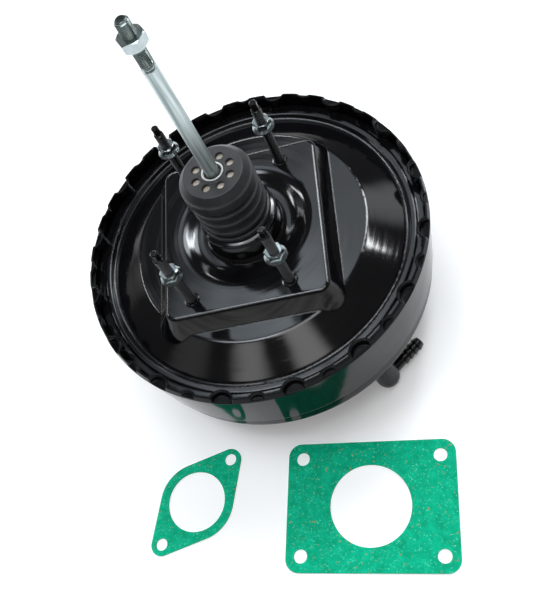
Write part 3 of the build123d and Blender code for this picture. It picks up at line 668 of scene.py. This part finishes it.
def groundGlow(nodes, links, coords):
    # white far away for the camera, and lifted a little near the object and in reflections
    path = nodes.new("ShaderNodeLightPath")
    whiter = nodes.new("ShaderNodeMapRange")
    whiter.inputs["From Min"].default_value, whiter.inputs["From Max"].default_value = studio["farWhite"]
    whiter.inputs["To Min"].default_value = studio["glow"]
    links.new(vectors(nodes, links, "LENGTH", coords), whiter.inputs["Value"])
    glow = maths(nodes, links, "MULTIPLY", whiter.outputs["Result"], path.outputs["Is Camera Ray"])
    for ray in ("Is Glossy Ray", "Is Transmission Ray"):
        glow = maths(nodes, links, "MULTIPLY_ADD", path.outputs[ray], studio["glow"], glow)
    return glow


def ground():
    bm = bmesh.new()
    bmesh.ops.create_circle(
        bm, cap_ends=True, radius=studio["groundRadius"], segments=studio["groundSteps"])
    bmesh.ops.translate(bm, vec=(0, 0, studio["ground"]), verts=bm.verts)
    mesh = bpy.data.meshes.new("ground")
    bm.to_mesh(mesh)
    bm.free()
    floor = bpy.data.objects.new("ground", mesh)
    bpy.context.scene.collection.objects.link(floor)
    material, nodes, links, shader = newMaterial("groundWhite")
    coords = nodes.new("ShaderNodeTexCoord").outputs["Object"]
    patches = noiseOn(nodes, links, coords, studio["patch"])
    colour = rampFrom(nodes, links, patches, list(zip((0.3, 0.7), studio["white"])))
    links.new(colour, shader.inputs["Base Color"])
    shader.inputs["Roughness"].default_value = studio["rough"]
    shader.inputs["Specular IOR Level"].default_value = studio["specular"]
    shader.inputs["Emission Color"].default_value = (1, 1, 1, 1)
    links.new(groundGlow(nodes, links, coords), shader.inputs["Emission Strength"])
    mesh.materials.append(material)


def wayTo(azimuth, elevation):
    level = cos(radians(elevation))
    return Vector((
        level * cos(radians(azimuth)), level * sin(radians(azimuth)), sin(radians(elevation)),
    ))


def sky():
    # dark room with soft glows where the light comes from
    world = bpy.data.worlds.new("studioSky")
    bpy.context.scene.world = world
    world.use_nodes = True
    nodes = world.node_tree.nodes
    links = world.node_tree.links
    coords = nodes.new("ShaderNodeTexCoord").outputs["Generated"]
    parts = nodes.new("ShaderNodeSeparateXYZ")
    links.new(coords, parts.inputs["Vector"])
    greys = [(place, (grey,) * 3) for place, grey in studio["sky"]]
    total = rampFrom(nodes, links, parts.outputs["Z"], greys)
    for name, azimuth, elevation, core, reach, strength, coolness in studio["glows"]:
        glow = nodes.new("ShaderNodeMapRange")
        glow.label = name
        glow.interpolation_type = "SMOOTHSTEP"
        glow.inputs["From Min"].default_value = cos(radians(reach))
        glow.inputs["From Max"].default_value = cos(radians(core))
        glow.inputs["To Max"].default_value = strength
        near = vectors(nodes, links, "DOT_PRODUCT", coords, wayTo(azimuth, elevation))
        links.new(near, glow.inputs["Value"])
        tint = (1 - coolness, 1 - coolness / 2, 1)
        total = vectors(nodes, links, "MULTIPLY_ADD", glow.outputs["Result"], tint, total)
    seen = nodes.new("ShaderNodeLightPath").outputs["Is Camera Ray"]
    shown = colourMix(nodes, links, seen, total, (1, 1, 1, 1))  # the camera sees plain white
    links.new(shown, nodes["Background"].inputs["Color"])
    nodes["Background"].inputs["Strength"].default_value = 1.0


def lamps():
    for name, azimuth, elevation, distance, size, power in studio["lamps"]:
        light = bpy.data.lights.new(name, "AREA")
        light.shape = "RECTANGLE"
        light.size, light.size_y = size
        light.energy = power
        light.color = studio["lampColour"]
        lamp = bpy.data.objects.new(name, light)
        bpy.context.scene.collection.objects.link(lamp)
        lamp.location = wayTo(azimuth, elevation) * distance
        lamp.rotation_euler = (-lamp.location).to_track_quat("-Z", "Y").to_euler()


def camera():
    data = bpy.data.cameras.new("camera")
    data.lens = studio["lens"]
    data.sensor_width = studio["sensor"]
    data.clip_start, data.clip_end = studio["clip"]
    viewer = bpy.data.objects.new("camera", data)
    bpy.context.scene.collection.objects.link(viewer)
    right = Vector(studio["cameraRight"])
    up = -Vector(studio["cameraDown"])
    back = -Vector(studio["cameraForward"])
    turn = Matrix((right, up, back)).transposed().to_4x4()
    turn.translation = studio["cameraPlace"]
    viewer.matrix_world = turn
    bpy.context.scene.camera = viewer


ground()
sky()
lamps()
camera()
bpy.context.scene.view_settings.view_transform = "Standard"
print("studio done")
